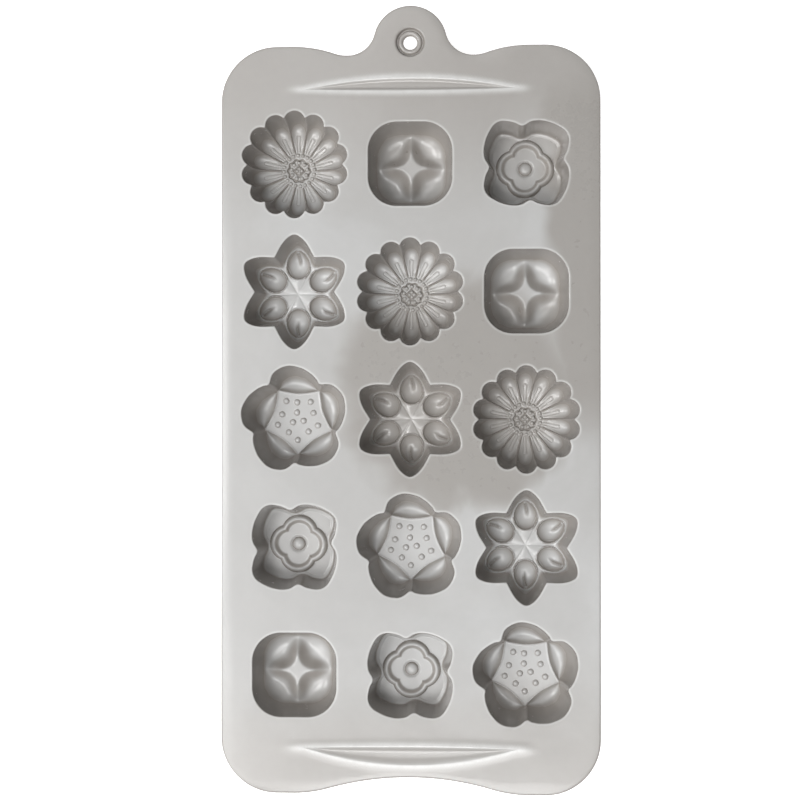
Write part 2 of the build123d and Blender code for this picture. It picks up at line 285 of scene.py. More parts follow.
def pentagon_inside(x, y):
    r = np.hypot(x, y)
    deg = np.degrees(np.arctan2(y, x))
    f = np.radians((deg - 17 + 36) % 72 - 36)     # 0 at the middle of a side
    ap = 10.5 * math.cos(math.radians(36))
    yy = ap * np.tan(f)
    half = ap * math.tan(math.radians(36))
    side = ap - 0.95 * (1 - (yy / half) ** 2)
    return (side / np.cos(f) - r) * np.cos(f)


def depth_plum(x, y, bowl):
    """The dotted pentagon stands above the five rounded lobes."""
    m = pentagon_inside(x, y)
    k = np.clip((0.10 - m) / 4.2, 0, 1)
    plateau = 11.45 + 2.75 * (1 - (1 - k) ** 1.9)
    d = bowl - plateau
    s = 0.10 + 0.90 * smooth(k * 2.2)
    out = 0.5 * (bowl + plateau - np.sqrt(d * d + s * s))
    out -= 0.20 * np.exp(-((m - 0.30) / 0.19) ** 2)
    for dx, dy in PLUM_DOTS:
        q = ((x - dx) ** 2 + (y - dy) ** 2) / 0.86 ** 2
        out -= 0.56 * np.maximum(1 - q, 0) ** 0.58
    return out


# ------------------------------------------------------------------ cup profiles: (share of the rim radius, depth)
PROFILE = {
    "daisy": [(1.0, 0.36), (0.991, 2.6), (0.976, 5.2), (0.951, 7.6), (0.912, 9.7), (0.862, 11.1), (0.80, 11.9),
              (0.71, 12.35), (0.58, 12.75), (0.46, 13.05), (0.34, 13.2), (0.22, 13.25), (0.0, 13.35)],
    "pillow": [(1.0, 0.36), (0.990, 2.8), (0.974, 5.2), (0.945, 7.4), (0.905, 9.3), (0.860, 10.7), (0.805, 11.7),
               (0.74, 12.35), (0.67, 12.85), (0.59, 13.25), (0.50, 13.5), (0.38, 13.6), (0.0, 13.6)],
    "star": [(1.0, 0.36), (0.988, 2.2), (0.968, 4.5), (0.938, 6.8), (0.900, 8.7), (0.850, 10.1), (0.785, 10.9),
             (0.70, 11.15), (0.58, 11.10), (0.40, 10.90), (0.20, 10.72), (0.0, 10.65)],
    "plum": [(1.0, 0.36), (0.990, 2.5), (0.971, 4.8), (0.940, 7.0), (0.897, 9.1), (0.845, 10.9), (0.785, 12.2),
             (0.725, 13.0), (0.66, 13.45), (0.58, 13.7), (0.45, 13.75), (0.0, 13.75)],
}
# rose: the wall is moved in square to the outline (share of draft in mm, depth)
ROSE_WALL = [(0.0, 0.36), (0.32, 3.0), (0.68, 6.2), (1.05, 9.4), (1.34, 11.8), (1.55, 12.45), (1.85, 12.62)]

NTH = {"daisy": 392, "pillow": 320, "rose": 360, "star": 360, "plum": 360}
OUTER = {   # outer skin below the sheet: (share of the rim radius, growth mm, height above the ground)
    "daisy": [(1.0, 1.25, Z0), (0.995, 1.25, 11.0), (0.965, 1.28, 7.6), (0.905, 1.30, 4.6), (0.835, 1.35, 2.4), (0.765, 1.35, 0.9), (0.70, 1.2, 0.0)],
    "pillow": [(1.0, 1.25, Z0), (0.996, 1.25, 11.0), (0.975, 1.28, 7.6), (0.925, 1.30, 4.4), (0.86, 1.30, 2.1), (0.79, 1.30, 0.7), (0.72, 1.2, 0.0)],
    "rose": [(1.0, 1.25, Z0), (0.982, 1.25, 9.5), (0.962, 1.25, 6.0), (0.935, 1.25, 2.6), (0.91, 1.20, 0.8), (0.86, 1.0, 0.0)],
    "star": [(1.0, 1.25, Z0), (0.992, 1.25, 11.0), (0.96, 1.28, 7.6), (0.91, 1.30, 4.6), (0.85, 1.30, 2.2), (0.79, 1.30, 0.7), (0.73, 1.2, 0.0)],
    "plum": [(1.0, 1.25, Z0), (0.996, 1.25, 11.0), (0.975, 1.28, 7.6), (0.93, 1.30, 4.6), (0.87, 1.30, 2.2), (0.80, 1.30, 0.7), (0.73, 1.2, 0.0)],
}


def warp(x, y, z):
    """A flexible sheet is never quite flat: slow waves of a tenth or two of a millimetre, none at the cup bottoms."""
    w = (0.09 * np.sin(x / 21.0 + 1.1) * np.sin(y / 26.0 + 0.4) + 0.05 * np.sin(x / 9.5 - y / 14.0 + 2.0)
         - 0.22 * (np.abs(y) / 110.0) ** 4 - 0.16 * (np.abs(x) / 53.0) ** 4 - 0.10)
    return z + w * np.clip(z / Z0, 0, 1) ** 1.5


def edge_highlight(ob, values):
    """How strongly a painted highlight, a pale colour, lies on each vertex along rims and grip edges."""
    at_ = ob.data.attributes.new("edge_highlight", "FLOAT", "POINT")
    at_.data.foreach_set("value", np.clip(values, 0, 1).astype(np.float32))


def add_mesh(name, verts, faces, sharp=38.0):
    v = np.asarray(verts, float).copy()
    v[:, 2] = warp(v[:, 0], v[:, 1], v[:, 2])
    me = bpy.data.meshes.new(name)
    me.from_pydata((v * MM).tolist(), [], faces)
    me.validate()
    me.update()
    me.polygons.foreach_set("use_smooth", [True] * len(me.polygons))
    me.set_sharp_from_angle(angle=math.radians(sharp))
    ob = bpy.data.objects.new(name, me)
    scene.collection.objects.link(ob)
    return ob


def at(r, n):
    """An outline's radius at n even angles."""
    return np.interp(np.arange(n) * TAU / n, TH, r, period=TAU)


RIM = 0.36


def build_cup(name):
    """Closed shell of one cup about its own axis: lip, rim, wall, floor relief, and outer skin with its flat foot."""
    R = outline(name)
    n = NTH[name]
    th = np.arange(n) * TAU / n
    cs, sn = np.cos(th), np.sin(th)
    rings = []          # each is (x, y, z) arrays

    def ring(r, z):
        rings.append((r * cs, r * sn, np.broadcast_to(np.asarray(z, float), (n,)).copy()))

    step = 0.19
    # --- outer skin, from the foot's centre up to the sheet
    foot = OUTER[name][-1]
    fr = at(grown(R * foot[0], foot[1]), n)
    for k in (0.25, 0.5, 0.75, 0.9):
        ring(fr * k, 0.12 * (1 - k ** 2) if k < 0.9 else 0.0)
    prof = chaikin([(o[0], o[2]) for o in OUTER[name][::-1]], 2)
    grow = np.interp(prof[:, 1], [o[2] for o in OUTER[name][::-1]], [o[1] for o in OUTER[name][::-1]])
    outer = [(k, g, z) for (k, z), g in zip(prof, grow)]
    base_grow = {}
    for k, g, z in outer:
        if z > Z0 - 0.95:
            continue
        key = round(g, 2)
        ring(at(grown(R * k, g), n), z)
    # fillet under the sheet
    top_k = 0.998
    for a in (0.0, 30.0, 60.0, 90.0):
        s, c = math.sin(math.radians(a)), math.cos(math.radians(a))
        ring(at(grown(R, WALL - 0.02 + 0.85 * (1 - c)), n), Z0 - 0.85 * (1 - s))
    edge = at(grown(R, WALL), n)
    ring(edge, Z0)
    ring(edge, TOP)
    ring(at(grown(R, 0.80), n), TOP)
    first_rim = len(rings)
    # --- lip and rim
    for a in (0.0, 18.0, 36.0, 54.0, 72.0, 90.0):
        s, c = math.sin(math.radians(a)), math.cos(math.radians(a))
        ring(at(grown(R, RIM * (1 - s)), n), TOP - RIM * (1 - c))
    # --- wall and floor
    Rn = at(R, n)
    if name == "rose":
        p = resample(chaikin(ROSE_WALL, 2), step * 1.9, 1.0)
        for e, d in p[1:]:
            ring(at(grown(R, -e), n), TOP - d)
        last = at(grown(R, -ROSE_WALL[-1][0]), n)
        # a small second step, then the petal floor
        m = int(round(13.0 / step))
        for j in range(1, m):
            t = 1 - j / m
            r = last * t
            x, y = r * cs, r * sn
            inset = last - r
            d = 12.62 + 0.12 * smooth(inset / 0.5) + 0.17 * smooth((inset - 0.42) / 0.34) + relief_rose(x, y) * smooth((inset - 0.02) / 0.5)
            rings.append((x, y, TOP - d))
    else:
        rr = float(Rn.mean())
        p = resample(chaikin(PROFILE[name], 3), step, rr)
        rel = {"daisy": relief_daisy, "star": relief_star}.get(name)
        for k, d in p[1:-1]:
            r = Rn * k
            x, y = r * cs, r * sn
            on = float(smooth((1.0 - k) / 0.16))
            if name == "plum":
                z = depth_plum(x, y, np.full(n, d))
            elif name == "pillow":
                z = depth_pillow(x, y, np.full(n, d))
            else:
                z = d + rel(x, y) * on
            rings.append((x, y, TOP - z))
    # stop just short of the axis so that the cap's triangles keep a sane shape
    rings = [q for q in rings if True]
    V = np.concatenate([np.stack(q, 1) for q in rings])
    F = []
    for j in range(len(rings) - 1):
        a, b = j * n, (j + 1) * n
        i = np.arange(n)
        i2 = (i + 1) % n
        F.append(np.stack([a + i, a + i2, b + i2, b + i], 1))
    F = np.concatenate(F)
    faces = [tuple(f) for f in F.tolist()]
    # caps
    c0, c1 = len(V), len(V) + 1
    last = len(rings) - 1
    zc = float(V[last * n:, 2].mean())
    V = np.vstack([V, [[0, 0, 0.12]], [[0, 0, zc]]])
    i = np.arange(n)
    i2 = (i + 1) % n
    faces += [(c0, int(b), int(a)) for a, b in zip(i, i2)]
    faces += [(c1, int(last * n + a), int(last * n + b)) for a, b in zip(i, i2)]
    # painted highlight: the rounded lip of the rim gets a pale colour, strongest on its outer rings
    edge_glint = np.zeros(len(V))
    for j, w in enumerate((0.44, 0.44, 0.32, 0.16, 0.05)):
        edge_glint[(first_rim + j) * n:(first_rim + j + 1) * n] = w
    return V, faces, edge, edge_glint


CUPS = {}
for design in ("daisy", "pillow", "rose", "star", "plum"):
    CUPS[design] = build_cup(design)


def centre_of(node, design):
    """The cup's axis, from its CAD box and its own outline's extents."""
    lo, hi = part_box(node)
    r = grown(outline(design), WALL)
    x, y = r * np.cos(TH), r * np.sin(TH)
    return (0.5 * (lo[0] + hi[0]) / MM - 0.5 * (x.min() + x.max()),
            0.5 * (lo[1] + hi[1]) / MM - 0.5 * (y.min() + y.max()))


pieces = []
cup_edges = []
for design in CUPS:
    V, faces, edge, edge_glint = CUPS[design]
    for k in (1, 2, 3):
        node = "cup_%s_%d" % (design, k)
        cx, cy = centre_of(node, design)
        ob = add_mesh("%s_cavity_%d" % (design, k), V + np.array([cx, cy, 0.0]), faces)
        edge_highlight(ob, edge_glint)
        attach(ob, "root")
        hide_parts(node)
        pieces.append(ob)
        n = len(edge)
        th = np.arange(n) * TAU / n
        cup_edges.append(np.stack([edge * np.cos(th) + cx, edge * np.sin(th) + cy], 1))

# ------------------------------------------------------------------ sheet
HALF_W, TOP_FLAT, BOT_FLAT, CORNER_R = 53.0, 98.87, -110.1, 15.6
TAB_Y, TAB_R, DIP_X, DIP_Y = 99.8, 10.3, 17.6, 96.24
SH_R, SH_X, ARCH_Y, LOW_R, LOW_X = 34.8, 32.9, -105.44, 36.8, 33.0
EYE_R, HOLE_R = 4.9, 1.9


def tray_outline():
    """Closed loop of points and outward normals, starting at the tab's top and going clockwise."""
    d = TAB_Y - DIP_Y
    rf = (DIP_X ** 2 + d * d - TAB_R ** 2) / (2 * (TAB_R + d))
    fc = (DIP_X, DIP_Y + rf)
    a_touch = math.atan2(fc[1] - TAB_Y, fc[0])
    sc = (SH_X, TOP_FLAT - SH_R)
    dx, dy = SH_X - DIP_X, DIP_Y - sc[1]
    rd = (dx * dx + dy * dy - SH_R ** 2) / (2 * (SH_R - dy))
    dc = (DIP_X, DIP_Y + rd)
    a_join = math.atan2(sc[1] - dc[1], sc[0] - dc[0])
    lc = (LOW_X, BOT_FLAT + LOW_R)
    e = lc[1] - ARCH_Y
    ra = (LOW_X ** 2 + e * e - LOW_R ** 2) / (2 * (LOW_R - e))
    ac = (0.0, ARCH_Y - ra)
    a_low = math.atan2(lc[1] - ac[1], lc[0] - ac[0])
    half = math.pi / 2
    segs = [("a", (0, TAB_Y), TAB_R, half, a_touch, 1),
            ("a", fc, rf, a_touch + math.pi, TAU - half, -1),
            ("a", dc, rd, -half, a_join, -1),
            ("a", sc, SH_R, a_join + math.pi, half, 1),
            ("l", (SH_X, TOP_FLAT), (HALF_W - CORNER_R, TOP_FLAT)),
            ("a", (HALF_W - CORNER_R, TOP_FLAT - CORNER_R), CORNER_R, half, 0.0, 1),
            ("l", (HALF_W, TOP_FLAT - CORNER_R), (HALF_W, BOT_FLAT + CORNER_R)),
            ("a", (HALF_W - CORNER_R, BOT_FLAT + CORNER_R), CORNER_R, 0.0, -half, 1),
            ("l", (HALF_W - CORNER_R, BOT_FLAT), (LOW_X, BOT_FLAT)),
            ("a", lc, LOW_R, -half, a_low - math.pi, 1),
            ("a", ac, ra, a_low, half, -1)]
    P, N = [], []
    for s in segs:
        if s[0] == "l":
            p, q = np.array(s[1], float), np.array(s[2], float)
            ln = np.linalg.norm(q - p)
            m = max(2, int(ln / 1.6))
            t = (q - p) / ln
            for i in range(m):
                P.append(p + (q - p) * i / m)
                N.append((-t[1], t[0]))
        else:
            _, c, r, a0, a1, sg = s
            m = max(6, int(abs(a1 - a0) * r / 0.9))
            for i in range(m):
                a = a0 + (a1 - a0) * i / m
                u = np.array([math.cos(a), math.sin(a)])
                P.append(np.array(c) + r * u)
                N.append(tuple(sg * u))
    P.append(np.array([0.0, ARCH_Y]))
    N.append((0.0, -1.0))
    P, N = np.array(P), np.array(N)
    # the left half mirrors the right one
    P2, N2 = P[1:-1][::-1] * [-1, 1], N[1:-1][::-1] * [-1, 1]
    return np.vstack([P, P2]), np.vstack([N, N2])


GRIP_HALF = 30.0
GRIPS = {"grip_top": (86.7, 90.0), "grip_bottom": (-97.2, -102.0)}


def arc_y(x, apex, chord, half):
    """Height of a circular arc through (-half, chord), (0, apex), (half, chord)."""
    s = apex - chord
    R = (half * half + s * s) / (2 * abs(s))
    return chord + math.copysign(1, s) * (np.sqrt(np.maximum(R * R - x * x, 0)) - (R - abs(s)))


def lens_sides(y0, y1, x):
    s = 1 if y1 > y0 else -1
    return arc_y(x, y1, y0, GRIP_HALF), arc_y(x, y0 - s * 0.7, y0, GRIP_HALF)


def bead(x, y):
    """Soft raised line that runs round each grip and fades out past its two tips."""
    out = np.zeros(np.broadcast(x, y).shape)
    for y0, y1 in GRIPS.values():
        cx = np.clip(x, -GRIP_HALF, GRIP_HALF)
        b, f = lens_sides(y0, y1, cx)
        hi, lo = np.maximum(b, f), np.minimum(b, f)
        over = np.maximum(np.abs(x) - GRIP_HALF, 0)
        d = np.hypot(over / 3.2, np.maximum(np.maximum(y - hi, lo - y), 0))
        out += 0.17 * np.exp(-((d - 0.15) / 1.0) ** 2)
    return out


BEAD0 = 0.17 * math.exp(-(0.15 / 1.0) ** 2)


def lens_loop(y0, y1, n=90):
    a = np.linspace(0, math.pi, n + 1)
    x = -GRIP_HALF * np.cos(a)
    bow, flat = lens_sides(y0, y1, x)
    up = np.stack([x, bow], 1)
    dn = np.stack([x, flat], 1)[::-1]
    return np.vstack([up[:-1], dn[:-1]])


P, N = tray_outline()
ER = 0.6
edge_rings = []
for a in (0, 18, 36, 54, 72, 90):
    s, c = math.sin(math.radians(a)), math.cos(math.radians(a))
    edge_rings.append((ER * (1 - s), TOP - ER * (1 - c)))
for a in (0, 18, 36, 54, 72, 90):
    s, c = math.sin(math.radians(a)), math.cos(math.radians(a))
    edge_rings.append((ER * (1 - c), Z0 + ER * (1 - s)))

loops = [P - N * ER] + cup_edges
eye_n = 96
ea = np.arange(eye_n) * TAU / eye_n
eye_loop = np.stack([EYE_R * np.cos(ea), TAB_Y + EYE_R * np.sin(ea)], 1)
loops.append(eye_loop)
for g in GRIPS.values():
    loops.append(lens_loop(*g))


def inside(poly, pts):
    x, y = pts[:, 0], pts[:, 1]
    c = np.zeros(len(pts), bool)
    j = len(poly) - 1
    for i in range(len(poly)):
        xi, yi, xj, yj = *poly[i], *poly[j]
        hit = ((yi > y) != (yj > y))
        with np.errstate(divide="ignore", invalid="ignore"):
            c ^= hit & (x < (xj - xi) * (y - yi) / (yj - yi + 1e-30) + xi)
        j = i
    return c


def near(loop, pts, d):
    a, b = loop, np.roll(loop, -1, 0)
    out = np.zeros(len(pts), bool)
    for p, q in zip(a, b):
        ab = q - p
        t = np.clip(((pts - p) @ ab) / max(ab @ ab, 1e-12), 0, 1)
        out |= np.hypot(*(pts - p - t[:, None] * ab).T) < d
    return out


gx, gy = np.meshgrid(np.arange(-52, 52.1, 2.6), np.arange(-109, 110, 2.6))
grid = np.stack([gx.ravel(), gy.ravel()], 1)
grid[1::2] += [0.0, 0.35]
far = np.ones(len(grid), bool)
for y0, y1 in GRIPS.values():
    far &= ~((np.abs(grid[:, 0]) < GRIP_HALF + 9) & (grid[:, 1] > min(y0, y1) - 3.4) & (grid[:, 1] < max(y0, y1) + 3.4))
finer = []
for y0, y1 in GRIPS.values():
    fx, fy = np.meshgrid(np.arange(-GRIP_HALF - 8.5, GRIP_HALF + 8.6, 0.85), np.arange(min(y0, y1) - 3.2, max(y0, y1) + 3.3, 0.42))
    fx[1::2] += 0.42
    finer.append(np.stack([fx.ravel(), fy.ravel()], 1))
grid = np.vstack([grid[far]] + finer)
keep = inside(loops[0], grid) & ~near(loops[0], grid, 0.9)
for lp in loops[1:]:
    keep &= ~inside(lp, grid)
    keep &= ~near(lp if len(lp) < 200 else lp[::4], grid, 0.3 if len(lp) == 180 else 0.8)
grid = grid[keep]

pts, edges, spans = [], [], []
for lp in loops:
    k = len(pts)
    pts += [tuple(p) for p in lp.tolist()]
    m = len(lp)
    edges += [(k + i, k + (i + 1) % m) for i in range(m)]
    spans.append((k, m))
nb = len(pts)
pts += [tuple(p) for p in grid.tolist()]
cv, ce, cf, ov, oe, of_ = delaunay_2d_cdt([Vector(p) for p in pts], edges, [], 0, 1e-6)
cv2 = np.array([tuple(v) for v in cv])
cent = np.array([cv2[list(f)].mean(0) for f in cf])
ok = inside(loops[0], cent)
for lp in loops[1:]:
    ok &= ~inside(lp, cent)
tri = [list(f) for f, k in zip(cf, ok) if k]
# index of each input point in the triangulation
where = {}
for i, src in enumerate(ov):
    for s in src:
        where[s] = i
lift = bead(cv2[:, 0], cv2[:, 1])
SV = [(x, y, TOP + h) for (x, y), h in zip(cv2, lift)]
nt = len(SV)
SV += [(x, y, Z0 + h) for (x, y), h in zip(cv2, lift)]
SF = []
for f in tri:
    a, b, c = cv2[f[0]], cv2[f[1]], cv2[f[2]]
    area = (b[0] - a[0]) * (c[1] - a[1]) - (b[1] - a[1]) * (c[0] - a[0])
    f = f if area > 0 else f[::-1]
    SF.append(tuple(f))
    SF.append(tuple(nt + i for i in f[::-1]))
# hole walls
for k, m in spans[1:]:
    for i in range(m):
        a, b = where[k + i], where[k + (i + 1) % m]
        SF.append((a, b, nt + b, nt + a))
# rounded outer edge: the loop runs clockwise, rings go from the top face's rim to the bottom face's rim
m = len(P)
prev = [where[i] for i in range(m)]
for inset, z in edge_rings[1:-1]:
    base = len(SV)
    q = P - N * inset
    SV += [(x, y, z) for x, y in q.tolist()]
    cur = list(range(base, base + m))
    for i in range(m):
        j = (i + 1) % m
        SF.append((prev[i], prev[j], cur[j], cur[i]))
    prev = cur
cur = [nt + where[i] for i in range(m)]
for i in range(m):
    j = (i + 1) % m
    SF.append((prev[i], prev[j], cur[j], cur[i]))
used = sorted({i for f in SF for i in f})
remap = {o: n_ for n_, o in enumerate(used)}
SV = np.array(SV)[used]
# painted highlight along the soft raised line round each grip
edge_glint = np.where(SV[:, 2] > Z0 + 1.0, (bead(SV[:, 0], SV[:, 1]) / 0.17) ** 1.5 * 0.9, 0.0)
SF = [tuple(remap[i] for i in f) for f in SF]
sheet = add_mesh("tray_sheet", SV, SF, sharp=40.0)
edge_highlight(sheet, edge_glint)
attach(sheet, "root")
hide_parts("web_panel", "top_end_panel", "bottom_end_panel")
pieces.append(sheet)

# ------------------------------------------------------------------ hang eye
prof = [(HOLE_R + 0.35, Z0 - 0.6), (HOLE_R + 0.12, Z0 - 0.52), (HOLE_R, Z0 - 0.30), (HOLE_R, 13.60), (HOLE_R + 0.06, 13.92),
        (HOLE_R + 0.20, 14.16), (2.34, 14.33), (2.62, 14.42), (2.92, 14.40), (3.14, 14.27), (3.26, 14.02), (3.34, 13.78),
        (3.44, 13.66), (3.58, 13.64), (3.70, 13.72), (3.79, 13.95), (3.86, 14.35), (3.93, 14.70), (4.06, 14.90), (4.26, 14.985),
        (4.5, TOP), (EYE_R, TOP), (EYE_R, Z0), (EYE_R, Z0 - 0.02),
        (EYE_R - 0.02, Z0 - 0.28), (EYE_R - 0.16, Z0 - 0.50), (EYE_R - 0.42, Z0 - 0.60)]
EV, EF = [], []
for r, z in prof:
    EV += [(r * math.cos(a), TAB_Y + r * math.sin(a), z) for a in ea]
k = len(prof)
for j in range(k):
    a0, b0 = j * eye_n, ((j + 1) % k) * eye_n
    for i in range(eye_n):
        i2 = (i + 1) % eye_n
        EF.append((a0 + i, a0 + i2, b0 + i2, b0 + i))
eye = add_mesh("hang_eye_ring", EV, EF, sharp=50.0)
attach(eye, "root")
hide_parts("hang_eye")
pieces.append(eye)

# ------------------------------------------------------------------ finger grips
for node, (y0, y1) in GRIPS.items():
    n = 90
    x = -GRIP_HALF * np.cos(np.linspace(0, math.pi, n + 1))
    bow, flat = lens_sides(y0, y1, x)
    m = 16
    vs = np.linspace(0, 1, m + 1)
    vs = 0.5 - 0.5 * np.cos(vs * math.pi)
    V, F = [], []

    depth = 0.42 if y0 > 0 else 0.26

    def dip(v, xx, width):
        d = np.minimum(v, 1 - v) * width          # distance from the nearer side
        deep = depth * smooth((GRIP_HALF - abs(xx)) / 11.0)
        return -BEAD0 + (BEAD0 + deep) * smooth(d / (0.25 + 0.30 * width))
    for zbase, under in ((TOP, 0), (Z0, 1)):
        for i in range(n + 1):
            for v in vs:
                yy = flat[i] * (1 - v) + bow[i] * v
                V.append((x[i], yy, zbase - dip(v, x[i], abs(bow[i] - flat[i]))))
    W = m + 1
    half_n = (n + 1) * W
    s = 1 if y1 > y0 else -1
    for i in range(n):
        for j in range(m):
            a, b, c, d = i * W + j, (i + 1) * W + j, (i + 1) * W + j + 1, i * W + j + 1
            q = (a, b, c, d) if s > 0 else (d, c, b, a)
            F.append(q)
            F.append(tuple(half_n + t for t in q[::-1]))
    for i in range(n):
        for j in (0, m):
            a, b = i * W + j, (i + 1) * W + j
            q = (a, half_n + a, half_n + b, b)
            flip = (j == m) ^ (s < 0)
            F.append(q[::-1] if flip else q)
    import bmesh
    ob = add_mesh(node + "_dish", V, F, sharp=60.0)
    bm = bmesh.new()
    bm.from_mesh(ob.data)
    bmesh.ops.remove_doubles(bm, verts=bm.verts, dist=2e-6)
    bmesh.ops.recalc_face_normals(bm, faces=bm.faces)
    bm.to_mesh(ob.data)
    bm.free()
    co = np.empty(len(ob.data.vertices) * 3)
    ob.data.vertices.foreach_get("co", co)
    co = co.reshape(-1, 3) / MM
    b_, f_ = lens_sides(y0, y1, np.clip(co[:, 0], -GRIP_HALF, GRIP_HALF))
    gap = np.minimum(np.abs(co[:, 1] - b_), np.abs(co[:, 1] - f_))
    # painted highlight along both edges of the grip's dish
    edge_highlight(ob, np.where(co[:, 2] > Z0 + 0.8, 0.9 * np.exp(-(gap / 0.45) ** 2), 0.0))
    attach(ob, "root")
    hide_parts(node)
    pieces.append(ob)

# make every shell face outward
import bmesh
for ob in pieces:
    bm = bmesh.new()
    bm.from_mesh(ob.data)
    if bm.calc_volume(signed=True) < 0:
        bmesh.ops.reverse_faces(bm, faces=bm.faces)
        bm.to_mesh(ob.data)
    open_edges = sum(1 for e in bm.edges if len(e.link_faces) != 2)
    print("PIECE", ob.name, "verts", len(bm.verts), "open", open_edges, "mm3 %.0f" % (bm.calc_volume() * 1e9))
    bm.free()

# ------------------------------------------------------------------ silicone
mat = bpy.data.materials.new("satin_silicone")
mat.use_nodes = True
nt_ = mat.node_tree
nodes, links = nt_.nodes, nt_.links
bsdf = nodes["Principled BSDF"]
coord = nodes.new("ShaderNodeTexCoord")


def noise(scale, detail, rough, distort=0.0, offset=(0, 0, 0), squash=(1, 1, 1)):
    mp = nodes.new("ShaderNodeMapping")
    mp.inputs["Location"].default_value = offset
    mp.inputs["Scale"].default_value = squash
    links.new(coord.outputs["Object"], mp.inputs["Vector"])
    nz = nodes.new("ShaderNodeTexNoise")
    nz.inputs["Scale"].default_value = scale
    nz.inputs["Detail"].default_value = detail
    nz.inputs["Roughness"].default_value = rough
    nz.inputs["Distortion"].default_value = distort
    links.new(mp.outputs["Vector"], nz.inputs["Vector"])
    return nz.outputs["Fac"]


def ramp(sock, stops):
    r = nodes.new("ShaderNodeValToRGB")
    el = r.color_ramp.elements
    while len(el) < len(stops):
        el.new(0.5)
    for e, (p, c) in zip(el, stops):
        e.position = p
        e.color = (*c, 1) if len(c) == 3 else c
    links.new(sock, r.inputs["Fac"])
    return r.outputs["Color"]


def mix(kind, fac, a, b):
    m = nodes.new("ShaderNodeMix")
    m.data_type = "RGBA"
    m.blend_type = kind
    for s, v in ((m.inputs[0], fac), (m.inputs[6], a), (m.inputs[7], b)):
        if hasattr(v, "node"):
            links.new(v, s)
        elif isinstance(v, (int, float)):
            s.default_value = v
        else:
            s.default_value = (*v, 1)
    return m.outputs[2]


def maths(op, a, b=None, clamp=False):
    m = nodes.new("ShaderNodeMath")
    m.operation = op
    m.use_clamp = clamp
    for i, v in enumerate((a, b)):
        if v is None:
            continue
        if hasattr(v, "node"):
            links.new(v, m.inputs[i])
        else:
            m.inputs[i].default_value = v
    return m.outputs[0]


def remap(sock, f0, f1, t0=0.0, t1=1.0):
    m = nodes.new("ShaderNodeMapRange")
    m.interpolation_type = "SMOOTHSTEP"
    for k, v in zip(("From Min", "From Max", "To Min", "To Max"), (f0, f1, t0, t1)):
        m.inputs[k].default_value = v
    links.new(sock, m.inputs["Value"])
    return m.outputs["Result"]


sep = nodes.new("ShaderNodeSeparateXYZ")
links.new(coord.outputs["Object"], sep.inputs[0])
px, py, pz = sep.outputs
cloud = noise(17.0, 5.0, 0.55, 0.6, (0.31, 0.12, 0.0))
patch = noise(38.0, 1.6, 0.5, 0.9, (0.7, 0.2, 0.4), (1.0, 1.7, 1.0))
fine = noise(420.0, 4.0, 0.6)
dust = noise(1700.0, 2.0, 0.7)
patch_wobble = noise(55.0, 1.8, 0.55, 0.8, (0.2, 0.5, 0.1), (1.6, 0.8, 1.0))

# painted top light: level surfaces get a pale colour that varies at random. It is held back in a painted dark
# reflection of the camera near the middle and in a darker patch on the upper right side
wob_x = maths("MULTIPLY", maths("SUBTRACT", patch, 0.5), 0.020)
wob_y = maths("MULTIPLY", maths("SUBTRACT", patch_wobble, 0.5), 0.018)
qx, qy = maths("ADD", px, wob_x), maths("ADD", py, wob_y)
ex = maths("DIVIDE", maths("SUBTRACT", qx, 0.013), 0.031)
ey = maths("DIVIDE", maths("SUBTRACT", qy, 0.002), 0.031)
rad2 = maths("ADD", maths("MULTIPLY", ex, ex), maths("MULTIPLY", ey, ey))
# painted reflection: a soft round darker patch near the middle of the tray, where the camera shows in the gloss
camera_reflection = remap(rad2, 1.40, 0.72)
# a darker patch with soft edges on the upper right side of the tray
right_side_patch = maths("MULTIPLY", remap(qx, 0.0365, 0.0425), maths("MULTIPLY", remap(qy, -0.020, 0.002), remap(py, 0.094, 0.080)))
camera_reflection_and_patch = maths("MAXIMUM", camera_reflection, right_side_patch)
geo = nodes.new("ShaderNodeNewGeometry")
nsep = nodes.new("ShaderNodeSeparateXYZ")
links.new(geo.outputs["Normal"], nsep.inputs[0])
level = remap(nsep.outputs[2], 0.50, 0.985)          # painted light: level surfaces are coloured paler than slopes
open_face = remap(pz, 0.0137, 0.0147)
# inside both patches the pale top colour is held back, though less so down in the cups
patch_dimming = maths("MULTIPLY", camera_reflection_and_patch, remap(pz, 0.0120, 0.0147, 0.62, 0.93))
painted_top_light = maths("MULTIPLY", level, maths("SUBTRACT", 1.0, patch_dimming))
# the pale top colour is reduced towards both ends of the tray
ends = maths("MULTIPLY", remap(py, 0.040, 0.092), 0.66)
ends = maths("ADD", ends, maths("MULTIPLY", remap(py, -0.068, -0.104), 0.66))
painted_top_light = maths("MULTIPLY", painted_top_light, maths("SUBTRACT", 1.0, ends))
painted_top_light = maths("MULTIPLY", painted_top_light, remap(cloud, 0.36, 0.66, 0.80, 1.10), True)

BARE = (0.284, 0.263, 0.242)
PATCH_COLOUR = (0.298, 0.283, 0.266)
TOP_LIGHT_COLOUR = (0.425, 0.424, 0.419)
# on the open face the two patches take their own base colour
body = mix("MIX", maths("MULTIPLY", camera_reflection_and_patch, open_face), BARE, PATCH_COLOUR)
# painted top light: the pale colour is laid over the base colour on level surfaces
col = mix("MIX", painted_top_light, body, TOP_LIGHT_COLOUR)
col = mix("MULTIPLY", 0.16, col, ramp(fine, [(0.30, (0.91, 0.91, 0.91)), (0.70, (1.05, 1.05, 1.05))]))
col = mix("MIX", maths("MULTIPLY", ramp(dust, [(0.64, (0, 0, 0)), (0.74, (1, 1, 1))]), 0.03), col, (0.62, 0.61, 0.59))
